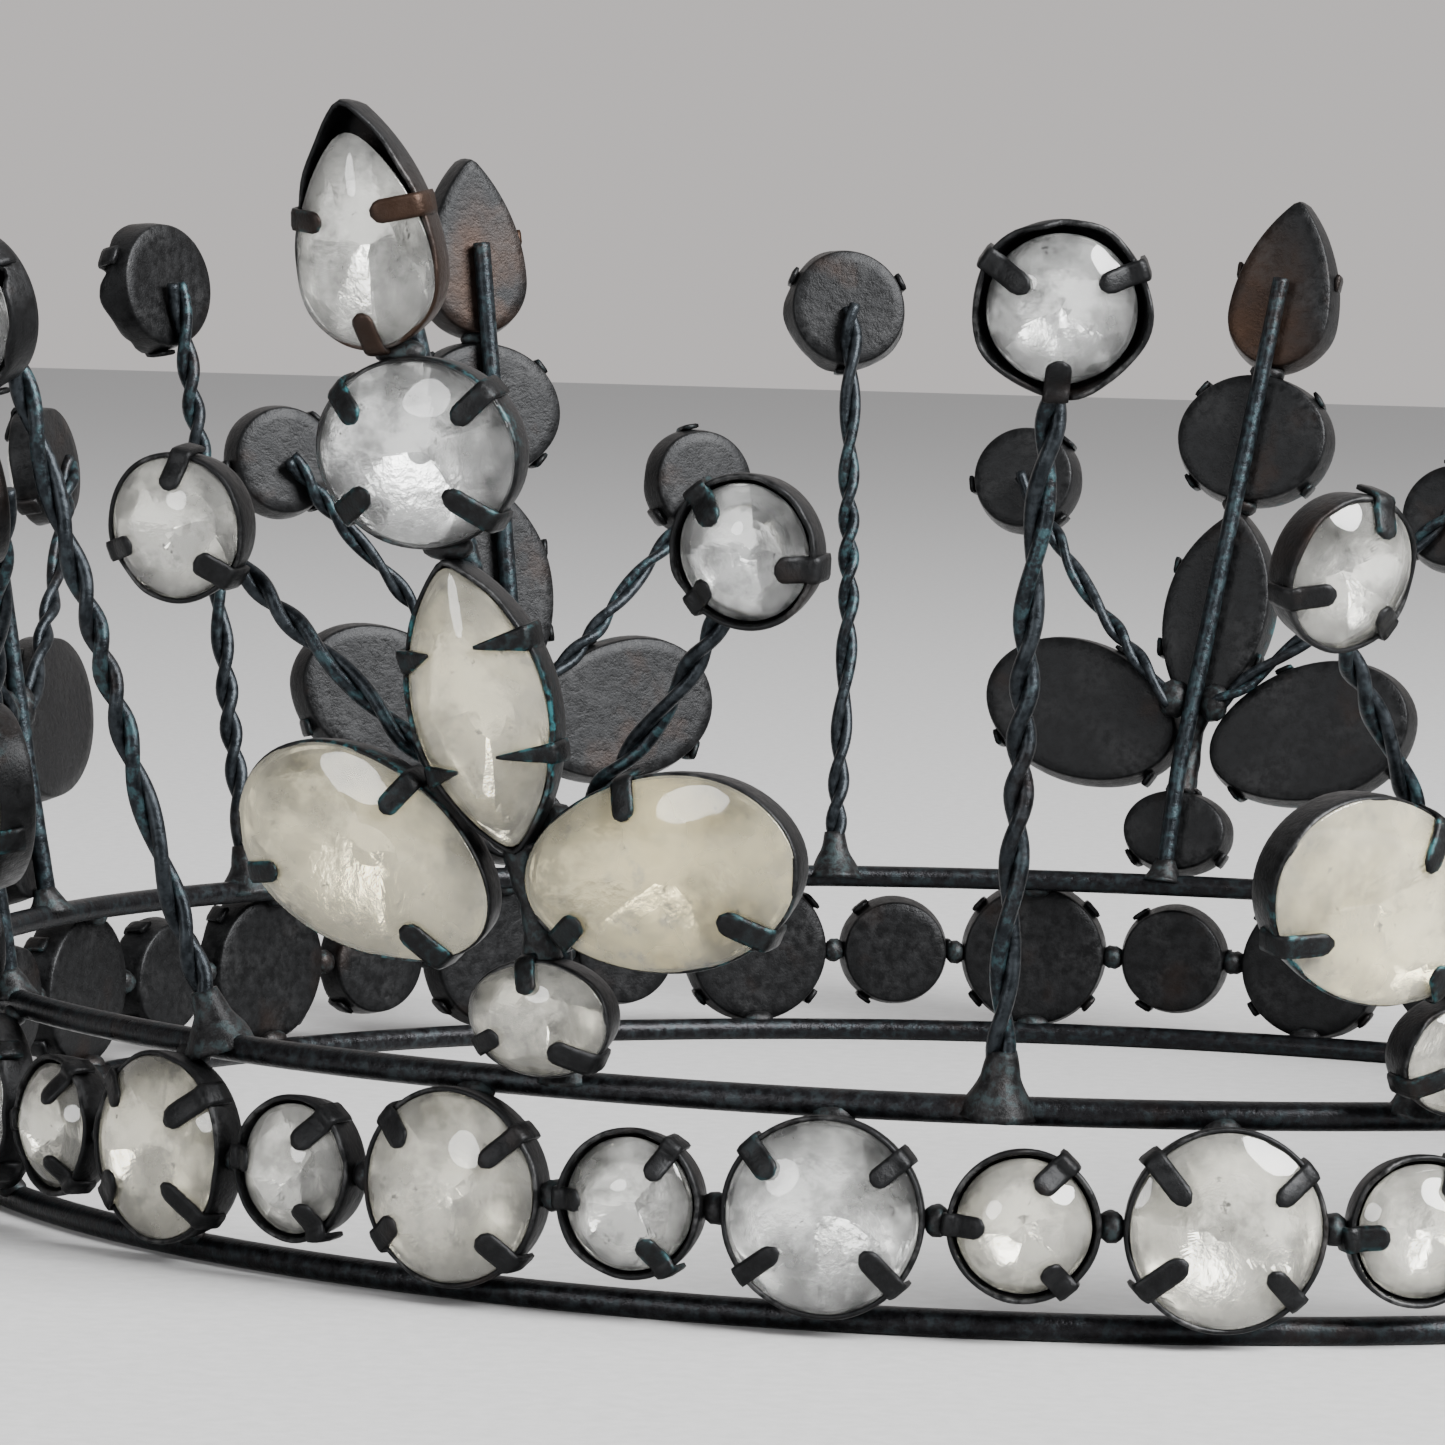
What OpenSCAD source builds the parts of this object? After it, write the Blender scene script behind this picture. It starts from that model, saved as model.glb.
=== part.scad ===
// Wire-framed crown set with closed-back rhinestones: two rails, a band of round stones between
// them, and nine flower motifs alternating with nine twisted-wire spikes on the upper rail.
// Origin: on the crown's axis, on the surface it stands on. +Z is up, and the front looks along -Y.

/* [Band] */
// Radius from the crown's axis to the middle of the rail wires
ring_r = 65; // [64:0.5:72]
// Diameter of the plain wire that the rails are made of
rail_d = 1.5; // [1.2:0.1:1.8]
// Height from the middle of the lower rail to the middle of the upper rail
rail_gap = 10.9; // [10.6:0.1:12]
// How much is filed off the lower rail's underside, so that it stands flat
rail_flat = 0.05; // [0.02:0.01:0.1]
// Number of large round stones, with as many small ones between them
band_pairs = 21; // [17:1:21]
// Outside diameter of a large round setting
large_d = 10.4; // [9.4:0.1:10.4]
// Outside diameter of a small round setting
small_d = 7.8; // [7:0.1:8]

/* [Settings] */
// Height of a setting's cup, from its back to its rim
cup_h = 2.1; // [2:0.1:3]
// Thickness of a cup's sheet metal
cup_wall = 0.35; // [0.25:0.05:0.45]
// Width of a claw
claw_w = 1.3; // [1:0.1:1.6]
// Thickness of a claw
claw_t = 0.4; // [0.3:0.05:0.5]
// How far a claw reaches in over its stone
claw_reach = 2; // [1.5:0.1:2.4]
// How far a stone's crown stands above the rim of its cup
stone_rise = 1.1; // [0.7:0.1:1.4]

/* [Flower motifs] */
// Number of motifs, with as many spikes between them
upright_pairs = 9; // [7:1:9]
// Width of the small oval on the rail
base_w = 8; // [7:0.1:8.6]
// Height of the small oval on the rail
base_h = 6.2; // [5:0.1:6.4]
// Width of each of the two wing ovals
wing_w = 15.2; // [13:0.1:15.4]
// Height of each of the two wing ovals
wing_h = 10.2; // [9:0.1:10.4]
// Width of the pointed navette
navette_w = 8.2; // [6:0.1:8.2]
// Height of the pointed navette
navette_h = 15.6; // [14:0.1:16.2]
// Width of the oval above the navette
crest_w = 11.4; // [10:0.1:13]
// Height of the oval above the navette
crest_h = 9.8; // [8:0.1:10.2]
// Width of the pear at the top
pear_w = 8; // [7:0.1:10]
// Height of the pear at the top
pear_h = 12.9; // [11:0.1:14]
// Outside diameter of the round settings at the ends of the sprays
spray_d = 7.9; // [7:0.1:8.4]
// Distance of each spray setting from the motif's middle
spray_x = 15.9; // [14:0.1:16]
// Height of each spray setting above the upper rail
spray_y = 28.5; // [26:0.1:29]

/* [Spikes] */
// Diameter over the two twisted strands of a stem or a spray
twist_d = 1.5; // [1.2:0.1:1.5]
// Height of a spike's setting above the upper rail
spike_y = 41; // [36:0.5:44]
// Outside diameter of a spike's round setting
spike_d = 8.8; // [8:0.1:9.4]

/* [Hidden] */
$fn = 48;
lower_z = rail_d / 2 - rail_flat;
upper_z = lower_z + rail_gap;
band_z = (lower_z + upper_z) / 2;
// A rail is bent from this many lengths of wire, with a hairline gap in degrees where two meet
rail_lengths = 4;
butt_gap = 0.1;
band_step = 180 / band_pairs;
// The first small setting stands a little to the right of the first spike
band_start = 1.3;
upright_step = 360 / upright_pairs;
cup_back = rail_d / 2;
cup_floor = 0.3;
stone_clear = 0.06;
stone_tuck = 0.2;
stone_drop = stone_rise + stone_tuck;
claw_lift = 0.03;
claw_clear = 0.12;
spine_d = 1.2;
// Heights on a motif: where its middle starts to sway sideways, and where the navette stands
bend_y = 8.3;
foot_y = 12.2;
base_y = cup_back + 0.25 + base_h / 2;
wing_gap = 2.3;
wing_y = 12;
wing_sway_y = foot_y + 3;
navette_y = foot_y + navette_h / 2;
crest_y = navette_y + navette_h / 2 + crest_h / 2 + 0.12;
pear_y = crest_y + crest_h / 2 + pear_h / 2 + 0.15;
metal = [0.17, 0.15, 0.14];
wire_metal = [0.13, 0.13, 0.14];
solder_metal = [0.3, 0.29, 0.28];
clear_stone = [0.86, 0.87, 0.84];
cream_stone = [0.85, 0.82, 0.66];
// Directions in which the claws stand around a setting, in degrees
large_claws = [40, 140, 220, 320];
small_claws = [55, 180, 305];
spike_claws = [30, 150, 270];
base_claws = [100, 205, 325];
wing_claws = [100, 205, 325];
crest_claws = [38, 142, 218, 322];
left_spray_claws = [80, 200, 320];
right_spray_claws = [130, 225, 350];
navette_claw_y = [-3, 3];
pear_claw_y = 0.6;
// How each motif is bent and soldered, in degrees: its place off the even spacing, its turn on
// the rail, its lean outwards, its lean to the left, the lean to the left of its middle stones
// and of its pear, and how far the outer ends of its left and right wings are tilted up
motif_bends = [
    [0, 0, 8, 0, 13, 7, 26, 10],
    [-1.4, 22, 13, -3, -3, -3, 18, 18],
    [-1.2, -4, 9, 1, -4, 2, 16, 19],
    [-3.7, 5, 8, -2, 5, -3, 19, 14],
    [-5.1, -3, 12, 2, -3, 4, 17, 18],
    [-6.6, -8, 12.6, 3, 4, 3, 20, 15],
    [-5.4, -5, 8, 2, -5, -4, 14, 20],
    [-4, 4, 10, -2, 3, 5, 18, 16],
    [0, -4, 9, 3, 4, 3, 15, 19]
];
// How each spike is bent, in degrees: its place off the even spacing, its lean outwards and its
// lean to the left
spike_bends = [
    [0, 8, -3],
    [0, 10, -2],
    [-3, 7, -2],
    [-4.4, 9, 3],
    [-6.5, 9, 3],
    [-6, 10, 2],
    [-4.5, 8, -3],
    [-3, 9, 2],
    [0, 13, 12]
];
function motif_name(i, what) = str("motif_", i + 1, "_", what);
function spike_name(i, what) = str("spike_", i + 1, "_", what);
uprights = [for (i = [0 : upright_pairs - 1]) i];

// ---- Where things stand ----

// A place on the band, facing outwards, with x along the rail, y up and z outwards
module on_band(angle) {
    rotate([0, 0, angle])
        translate([0, -ring_r, band_z])
            rotate([90, 0, 0])
                children();
}

// A place on the upper rail, bent as its upright is
module on_upper_rail(angle, turn, lean_out, lean_left) {
    rotate([0, 0, angle])
        translate([0, -ring_r, upper_z])
            rotate([90, 0, turn])
                rotate([lean_out, 0, 0])
                    rotate(lean_left)
                        children();
}

module on_motif(i) {
    bend = motif_bends[i];
    middle = -upright_step / 2 + upright_step * i;
    on_upper_rail(middle + bend[0], bend[1], bend[2], bend[3]) children();
}

module on_spike(i) {
    bend = spike_bends[i];
    on_upper_rail(upright_step * i + bend[0], 0, bend[1], bend[2]) children();
}

// ---- Outlines of the stones and their cups, each [width, height] about its own middle ----

// An ellipse
module oval(size)
    scale([size[0] / size[1], 1])
        circle(d = size[1], $fn = 72);

// Radius of the side arcs of a shape that narrows from half_w to a point over a rise.
// Whole thousandths let the arcs meet their neighbours exactly.
function side_radius(half_w, rise) =
    round(500 * (rise * rise + half_w * half_w) / half_w) / 1000;

// Two arcs that meet in a point above and below
module navette(size) {
    side_r = side_radius(size[0] / 2, size[1] / 2);
    intersection_for(side = [-1, 1])
        translate([side * (side_r - size[0] / 2), 0])
            circle(side_r, $fn = 120);
}

// A round bottom whose sides run up in two arcs to a point
module pear(size) {
    round_r = size[0] / 2;
    side_r = side_radius(round_r, size[1] - round_r);
    translate([0, round_r - size[1] / 2]) {
        intersection() {
            circle(round_r);
            translate([-size[1], -2 * size[1]])
                square(2 * size[1]);
        }
        intersection() {
            translate([side_r - round_r, 0])
                circle(side_r, $fn = 120);
            translate([round_r - side_r, 0])
                circle(side_r, $fn = 120);
            translate([-size[1], 0])
                square(2 * size[1]);
        }
    }
}

module outline(kind, size) {
    if (kind == "round") circle(d = size[0]);
    if (kind == "oval") oval(size);
    if (kind == "navette") navette(size);
    if (kind == "pear") pear(size);
}

// Distance from an oval's middle to its edge, in a direction in degrees
function oval_edge(size, a) =
    size[0] * size[1] / 2 / norm([size[1] * cos(a), size[0] * sin(a)]);

// Half the width of a navette at a height above its middle
function navette_half(size, y) =
    let (side_r = side_radius(size[0] / 2, size[1] / 2))
    sqrt(side_r * side_r - y * y) - side_r + size[0] / 2;

// Half the width of a pear at a height above its middle
function pear_half(size, y) =
    let (round_r = size[0] / 2)
    let (side_r = side_radius(round_r, size[1] - round_r))
    let (up = y - round_r + size[1] / 2)
    sqrt(side_r * side_r - up * up) - side_r + round_r;

// ---- Settings and stones ----

// One claw: a short post in the cup's wall and a strip that slopes up and in over the stone.
// dir is the way it points, and across is the distance from the wall to the stone's middle.
module claw(point, dir, across, tip_w = 0.7) {
    reach = min(claw_reach, 0.7 * across);
    rise = stone_drop * (1 - pow(1 - reach / across, 2));
    half_w = claw_w / 2;
    half_tip = tip_w / 2;
    outside = 0.4;
    translate([point[0], point[1], cup_h])
        rotate([0, 0, dir]) {
            translate([0, -half_w, -0.8])
                cube([cup_wall - 0.08, claw_w, 1]);
            translate([0, 0, claw_lift])
                rotate([0, -atan2(rise + claw_clear - stone_tuck, reach), 0])
                    linear_extrude(claw_t)
                        polygon([
                            [-outside, -half_w],
                            [reach - half_w, -half_w],
                            [reach, -half_tip],
                            [reach, half_tip],
                            [reach - half_w, half_w],
                            [-outside, half_w]
                        ]);
        }
}

// A closed-back cup with its claws. The outline cuts cup and claws alike.
module cup(kind, size) {
    intersection() {
        linear_extrude(cup_h + stone_rise + 2)
            outline(kind, size);
        union() {
            difference() {
                cylinder(h = cup_h, r = norm(size));
                translate([0, 0, cup_floor])
                    linear_extrude(cup_h)
                        outline(kind, size - 2 * [cup_wall, cup_wall]);
            }
            children();
        }
    }
}

module oval_setting(kind, size, claws)
    cup(kind, size)
        for (a = claws) {
            edge = oval_edge(size, a);
            claw([edge * cos(a), edge * sin(a)], a + 180, edge);
        }

module navette_setting(size)
    cup("navette", size)
        for (y = navette_claw_y, side = [0, 180]) {
            half = navette_half(size, y);
            claw([half * cos(side), y], side + 180, half, 0.3);
        }

module pear_setting(size)
    cup("pear", size) {
        half = pear_half(size, pear_claw_y);
        for (side = [0, 180])
            claw([half * cos(side), pear_claw_y], side + 180, half);
        claw([0, -size[1] / 2], 90, size[0] / 2);
    }

// A stone fills its cup. A sphere rounds its crown lengthways and a cylinder rounds it across,
// and round stones need only the sphere.
module stone(kind, size) {
    inner = size - 2 * (cup_wall + stone_clear) * [1, 1];
    long = max(inner) / 2;
    short = min(inner) / 2;
    ball_r = (long * long + stone_drop * stone_drop) / (2 * stone_drop);
    vault_r = (short * short + stone_drop * stone_drop) / (2 * stone_drop);
    top = cup_h + stone_rise;
    along = inner[0] > inner[1] ? [0, 90, 0] : [90, 0, 0];
    intersection() {
        translate([0, 0, cup_floor])
            linear_extrude(top)
                outline(kind, inner);
        translate([0, 0, top - ball_r])
            sphere(ball_r, $fn = 120);
        if (kind != "round")
            translate([0, 0, top - 0.1 - vault_r])
                rotate(along)
                    cylinder(h = 3 * long, r = vault_r, center = true, $fn = 120);
    }
}

// ---- The motif's plan, in its own plane ----

// How far the middle of motif i has swayed sideways at a height
function sway(i, y) = -tan(motif_bends[i][4]) * max(0, y - bend_y);

// The sprays' heads sway only with what is above their foot
function spray_head_x(i, side) = side * spray_x + sway(i, spray_y) - sway(i, foot_y);

module in_motif(x, y, turned = 0)
    translate([x, y, cup_back])
        rotate(turned)
            children();

// The wings stay level when the middle sways, and move a little with it
module on_wing(i, side) {
    tilt = motif_bends[i][side < 0 ? 6 : 7];
    out = (wing_gap + wing_w * cos(tilt)) / 2;
    translate([side * out + sway(i, wing_sway_y), wing_y, cup_back])
        rotate(side * tilt)
            children();
}

module motif_settings(i) color(metal) on_motif(i) {
    base = [base_w, base_h];
    wing = [wing_w, wing_h];
    round = [spray_d, spray_d];
    in_motif(0, base_y) oval_setting("oval", base, base_claws);
    on_wing(i, 1) oval_setting("oval", wing, wing_claws);
    on_wing(i, -1) oval_setting("oval", wing, [for (a = wing_claws) 180 - a]);
    in_motif(sway(i, navette_y), navette_y, motif_bends[i][4])
        navette_setting([navette_w, navette_h]);
    in_motif(sway(i, crest_y), crest_y) oval_setting("oval", [crest_w, crest_h], crest_claws);
    in_motif(sway(i, pear_y), pear_y, motif_bends[i][5]) pear_setting([pear_w, pear_h]);
    in_motif(spray_head_x(i, -1), spray_y) oval_setting("round", round, left_spray_claws);
    in_motif(spray_head_x(i, 1), spray_y) oval_setting("round", round, right_spray_claws);
}

module motif_stones(i) on_motif(i) {
    color(clear_stone) {
        in_motif(0, base_y) stone("oval", [base_w, base_h]);
        in_motif(sway(i, crest_y), crest_y) stone("oval", [crest_w, crest_h]);
        in_motif(sway(i, pear_y), pear_y, motif_bends[i][5]) stone("pear", [pear_w, pear_h]);
        for (side = [-1, 1])
            in_motif(spray_head_x(i, side), spray_y) stone("round", [spray_d, spray_d]);
    }
    color(cream_stone) {
        in_motif(sway(i, navette_y), navette_y, motif_bends[i][4])
            stone("navette", [navette_w, navette_h]);
        for (side = [-1, 1])
            on_wing(i, side) stone("oval", [wing_w, wing_h]);
    }
}

// A round rod in the plane of an upright, from one point to another
module rod(from, to, d) {
    way = to - from;
    translate([from[0], from[1], 0])
        rotate([0, 0, atan2(way[1], way[0])])
            rotate([0, 90, 0])
                cylinder(h = norm(way), d = d);
}

// The spine behind the middle stones, and the two sprays that spread from its foot
module motif_wires(i) color(wire_metal) on_motif(i) {
    bend = [0, bend_y];
    spray_foot_x = (spine_d + twist_d) / 2 + 0.1;
    start_y = foot_y + 0.8;
    rod([0, cup_back - 0.05], bend, spine_d);
    translate([0, bend_y, 0])
        sphere(d = spine_d + 0.04);
    rod(bend, [sway(i, pear_y), pear_y], spine_d);
    for (side = [-1, 1])
        rod([side * spray_foot_x + sway(i, start_y), start_y],
            [spray_head_x(i, side), spray_y], twist_d);
}

// Beads of solder: a fillet on the rail, the column between the wings, and one at each joint
// between the middle stones
module motif_solder() color(solder_metal)
    for (i = uprights)
        on_motif(i) {
            translate([0, 0.3, 0])
                rotate([-90, 0, 0])
                    cylinder(h = 1.3, r1 = 1.4, r2 = 0.8);
            translate([0, 0, cup_back + 0.9])
                rod([0, base_y + base_h / 2], [sway(i, foot_y), foot_y + 0.1], 1.5);
            for (y = [crest_y - crest_h / 2, crest_y + crest_h / 2])
                translate([sway(i, y), y, cup_back + 0.9])
                    sphere(0.85);
        }

// ---- Spikes ----

module spike_stem(i) color(wire_metal) on_spike(i)
    rod([0, cup_back - 0.05], [0, spike_y], twist_d);

module spike_setting(i) color(metal) on_spike(i)
    translate([0, spike_y, cup_back])
        oval_setting("round", [spike_d, spike_d], spike_claws);

module spike_stones() color(clear_stone)
    for (i = uprights)
        on_spike(i)
            translate([0, spike_y, cup_back])
                stone("round", [spike_d, spike_d]);

// A cone of solder on the rail around the foot of each stem
module spike_solder() color(solder_metal)
    for (i = uprights)
        on_spike(i)
            translate([0, 0.2, 0])
                rotate([-90, 0, 0])
                    difference() {
                        cylinder(h = 2.6, r1 = 1.9, r2 = 0.95);
                        cylinder(h = 6, d = twist_d, center = true);
                    }

// ---- Band ----

// A rail: lengths of round wire butted end to end into a hoop. Only what is above the ground is
// kept, so the lower rail has a flat underside.
module rail(z) color(metal)
    for (i = [0 : rail_lengths - 1])
        rotate((i + 0.5) * 360 / rail_lengths)
            rotate_extrude(angle = 360 / rail_lengths - butt_gap, $fn = 180)
                intersection() {
                    translate([ring_r, z])
                        circle(d = rail_d);
                    translate([ring_r - rail_d, 0])
                        square([2 * rail_d, z + rail_d]);
                }

// Every other place on the band, from the first one on
module every_other(first)
    for (i = [0 : band_pairs - 1])
        on_band(band_start + (2 * i + first) * band_step)
            translate([0, 0, cup_back - 0.05])
                children();

module band_large_settings() color(metal)
    every_other(1) oval_setting("round", [large_d, large_d], large_claws);

module band_small_settings() color(metal)
    every_other(0) oval_setting("round", [small_d, small_d], small_claws);

module band_large_stones() color(clear_stone)
    every_other(1) stone("round", [large_d, large_d]);

module band_small_stones() color(clear_stone)
    every_other(0) stone("round", [small_d, small_d]);

// Solder bridges between neighbouring cups, and beads where the large cups sit on the rails
module band_solder() color(solder_metal) {
    pitch = 2 * (ring_r + cup_back + cup_h / 2) * sin(band_step / 2);
    gap = pitch - (large_d + small_d) / 2;
    bridge = gap + 0.3;
    off_middle = (large_d - small_d) / 4;
    for (i = [0 : 2 * band_pairs - 1])
        rotate([0, 0, band_start + (i + 0.5) * band_step])
            translate([(i % 2 == 0 ? -1 : 1) * off_middle, -ring_r - cup_back - cup_h / 2, band_z])
                rotate([0, 90, 0])
                    cylinder(h = bridge, d = 1.5, center = true);
    for (i = [0 : band_pairs - 1], side = [-1, 1])
        on_band(band_start + (2 * i + 1) * band_step)
            translate([0, side * (rail_gap / 2 - 0.7), 0.35])
                sphere(0.6);
}

rail(lower_z);  // lower_rail
rail(upper_z);  // upper_rail
band_large_settings();
band_small_settings();
band_large_stones();
band_small_stones();
band_solder();
for (i = uprights) {
    motif_settings(i);
    motif_stones(i);
    motif_wires(i);
    spike_stem(i);
    spike_setting(i);
}
motif_solder();
spike_stones();
spike_solder();
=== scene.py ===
import math

import bmesh
import bpy
import numpy as np
from mathutils import Matrix, Vector


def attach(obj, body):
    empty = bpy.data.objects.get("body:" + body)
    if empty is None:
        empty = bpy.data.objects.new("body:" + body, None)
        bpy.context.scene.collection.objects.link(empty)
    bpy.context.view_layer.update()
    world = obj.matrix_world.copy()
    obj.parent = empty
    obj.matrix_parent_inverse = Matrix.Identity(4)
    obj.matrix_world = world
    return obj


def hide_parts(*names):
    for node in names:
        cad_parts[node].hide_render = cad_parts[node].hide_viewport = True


# A crown of blackened wire set with closed-back paste stones. Lengths here are in millimetres
# and angles in degrees. Each upright has its own flat plan, with x to the right along the rail,
# y up and z outwards, and a place matrix stands the plan on the rail.

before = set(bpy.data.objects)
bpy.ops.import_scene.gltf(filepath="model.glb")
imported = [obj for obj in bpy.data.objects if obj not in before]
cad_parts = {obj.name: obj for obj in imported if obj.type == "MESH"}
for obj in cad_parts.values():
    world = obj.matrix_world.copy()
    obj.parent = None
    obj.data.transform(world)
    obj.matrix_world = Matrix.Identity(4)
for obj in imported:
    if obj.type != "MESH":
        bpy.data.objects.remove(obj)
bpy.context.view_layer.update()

MM = 0.001

# ---- Layout shared with the part ----

RING_R = 65.0
RAIL_D = 1.5
RAIL_GAP = 10.9
RAIL_FLAT = 0.05
BAND_PAIRS = 21
BAND_START = 1.3
LARGE_SIZE = (10.4, 10.4)
SMALL_SIZE = (7.8, 7.8)
CUP_H = 2.1
STONE_RISE = 1.1
UPRIGHTS = 9
BASE_SIZE = (8.0, 6.2)
WING_SIZE = (15.2, 10.2)
NAVETTE_SIZE = (8.2, 15.6)
CREST_SIZE = (11.4, 9.8)
PEAR_SIZE = (8.0, 12.9)
SPRAY_SIZE = (7.9, 7.9)
SPRAY_X = 15.9
SPRAY_Y = 28.5
SPIKE_SIZE = (8.8, 8.8)
SPIKE_Y = 41.0
TWIST_D = 1.5
SPINE_D = 1.2

LOWER_Z = RAIL_D / 2 - RAIL_FLAT
UPPER_Z = LOWER_Z + RAIL_GAP
BAND_Z = (LOWER_Z + UPPER_Z) / 2
BAND_STEP = 180.0 / BAND_PAIRS
UPRIGHT_STEP = 360.0 / UPRIGHTS
CUP_BACK = RAIL_D / 2
BEND_Y = 8.3
FOOT_Y = 12.2
BASE_Y = CUP_BACK + 0.25 + BASE_SIZE[1] / 2
WING_GAP = 2.3
WING_Y = 12.0
WING_SWAY_Y = FOOT_Y + 3
NAVETTE_Y = FOOT_Y + NAVETTE_SIZE[1] / 2
CREST_Y = NAVETTE_Y + NAVETTE_SIZE[1] / 2 + CREST_SIZE[1] / 2 + 0.12
PEAR_Y = CREST_Y + CREST_SIZE[1] / 2 + PEAR_SIZE[1] / 2 + 0.15

LARGE_CLAWS = (40, 140, 220, 320)
SMALL_CLAWS = (55, 180, 305)
SPIKE_CLAWS = (30, 150, 270)
BASE_CLAWS = (100, 205, 325)
WING_CLAWS = (100, 205, 325)
CREST_CLAWS = (38, 142, 218, 322)
LEFT_SPRAY_CLAWS = (80, 200, 320)
RIGHT_SPRAY_CLAWS = (130, 225, 350)

# How each motif is bent: its place off the even spacing, its turn on the rail, its lean
# outwards and to the left, the lean to the left of its middle stones and of its pear, and the
# upward tilt of its left and right wings
MOTIF_BENDS = (
    (0, 0, 8, 0, 13, 7, 26, 10),
    (-1.4, 22, 13, -3, -3, -3, 18, 18),
    (-1.2, -4, 9, 1, -4, 2, 16, 19),
    (-3.7, 5, 8, -2, 5, -3, 19, 14),
    (-5.1, -3, 12, 2, -3, 4, 17, 18),
    (-6.6, -8, 12.6, 3, 4, 3, 20, 15),
    (-5.4, -5, 8, 2, -5, -4, 14, 20),
    (-4, 4, 10, -2, 3, 5, 18, 16),
    (0, -4, 9, 3, 4, 3, 15, 19),
)
# How each spike is bent: its place off the even spacing, its lean outwards and to the left
SPIKE_BENDS = (
    (0, 8, -3),
    (0, 10, -2),
    (-3, 7, -2),
    (-4.4, 9, 3),
    (-6.5, 9, 3),
    (-6, 10, 2),
    (-4.5, 8, -3),
    (-3, 9, 2),
    (0, 13, 12),
)

# ---- Looks of the pieces, in millimetres ----

EDGE_POINTS = 72
GEM_RINGS = 12
CUP_WALL = 0.32
GEM_TOP = CUP_H + STONE_RISE + 0.1
# How a stone fits its cup: bulging over the rim, level with it, or loose inside it
PROUD = (0.12, CUP_H + 0.1)
LEVEL = (0.3, CUP_H - 0.05)
LOOSE = (0.5, CUP_H - 0.25)
LOOSEST = (0.72, CUP_H - 0.25)
CULET_Z = 0.55
CLAW_W = 1.3
CLAW_T = 0.36
STRAND_R = 0.41
STRAND_OFFSET = 0.37
TWIST_PITCH = 7.4
SPRAY_TWIST_D = 0.88 * TWIST_D
# The crown facets of a stone: how much of their shape shows, and how crisp they are
FACET_SHARE = 0.8
FACET_SHARPNESS = 9.0


# ---- Places ----


def turned(axis, degrees):
    """The matrix of a turn about the x or the z axis."""
    c, s = math.cos(math.radians(degrees)), math.sin(math.radians(degrees))
    m = np.eye(4)
    i, j = {"x": (1, 2), "z": (0, 1)}[axis]
    m[i, i] = m[j, j] = c
    m[i, j], m[j, i] = -s, s
    return m


def shifted(x, y, z):
    """The matrix of a shift."""
    m = np.eye(4)
    m[:3, 3] = x, y, z
    return m


def on_band(angle):
    return turned("z", angle) @ shifted(0, -RING_R, BAND_Z) @ turned("x", 90)


def on_upper_rail(angle, turn, lean_out, lean_left):
    upright = shifted(0, -RING_R, UPPER_Z) @ turned("z", turn) @ turned("x", 90)
    return turned("z", angle) @ upright @ turned("x", lean_out) @ turned("z", lean_left)


def on_motif(i):
    place, turn, lean_out, lean_left = MOTIF_BENDS[i][:4]
    return on_upper_rail((i - 0.5) * UPRIGHT_STEP + place, turn, lean_out, lean_left)


def on_spike(i):
    place, lean_out, lean_left = SPIKE_BENDS[i]
    return on_upper_rail(i * UPRIGHT_STEP + place, 0, lean_out, lean_left)


def sway(i, y):
    """How far the middle of motif i has swayed sideways at height y."""
    return -math.tan(math.radians(MOTIF_BENDS[i][4])) * max(0.0, y - BEND_Y)


def spray_head_x(i, side):
    """A spray's head sways only with what is above its foot."""
    return side * SPRAY_X + sway(i, SPRAY_Y) - sway(i, FOOT_Y)


def placed(matrix, points):
    """Points of shape (..., 3) carried by a place matrix."""
    return points @ matrix[:3, :3].T + matrix[:3, 3]


# ---- Outlines ----


def side_radius(half_w, rise):
    """Radius of an arc that leaves a width's end at right angles and meets the middle after a
    rise."""
    return (rise * rise + half_w * half_w) / (2 * half_w)


def outline(kind, size, count=EDGE_POINTS):
    """count points around a setting, counter-clockwise. An oval is an ellipse. A navette is two
    arcs, from its lower tip up the right side and back down the left. A pear is a half circle
    with two arcs that run up to its tip."""
    w, h = size
    if kind == "navette":
        big = side_radius(w / 2, h / 2)
        a = math.asin(h / 2 / big) * (4 * np.arange(count // 2) / count - 1)
        right = np.stack([big * np.cos(a) - big + w / 2, big * np.sin(a)], axis=1)
        return np.concatenate([right, -right])
    if kind == "pear":
        r = w / 2
        big = side_radius(r, h - r)
        quarter = np.arange(count // 4) / (count // 4)
        round_a = math.pi / 2 * (quarter - 1)
        side_a = math.asin((h - r) / big) * quarter
        low = np.stack([r * np.cos(round_a), r * np.sin(round_a)], axis=1)
        high = np.stack([big * np.cos(side_a) - big + r, big * np.sin(side_a)], axis=1)
        right = np.concatenate([low, high])
        tip = np.array([[0.0, h - r]])
        left = np.concatenate([tip, right[:0:-1]]) * (-1, 1)
        return np.concatenate([right, left]) + (0, r - h / 2)
    a = 2 * math.pi * np.arange(count) / count
    return np.stack([w / 2 * np.cos(a), h / 2 * np.sin(a)], axis=1)


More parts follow.
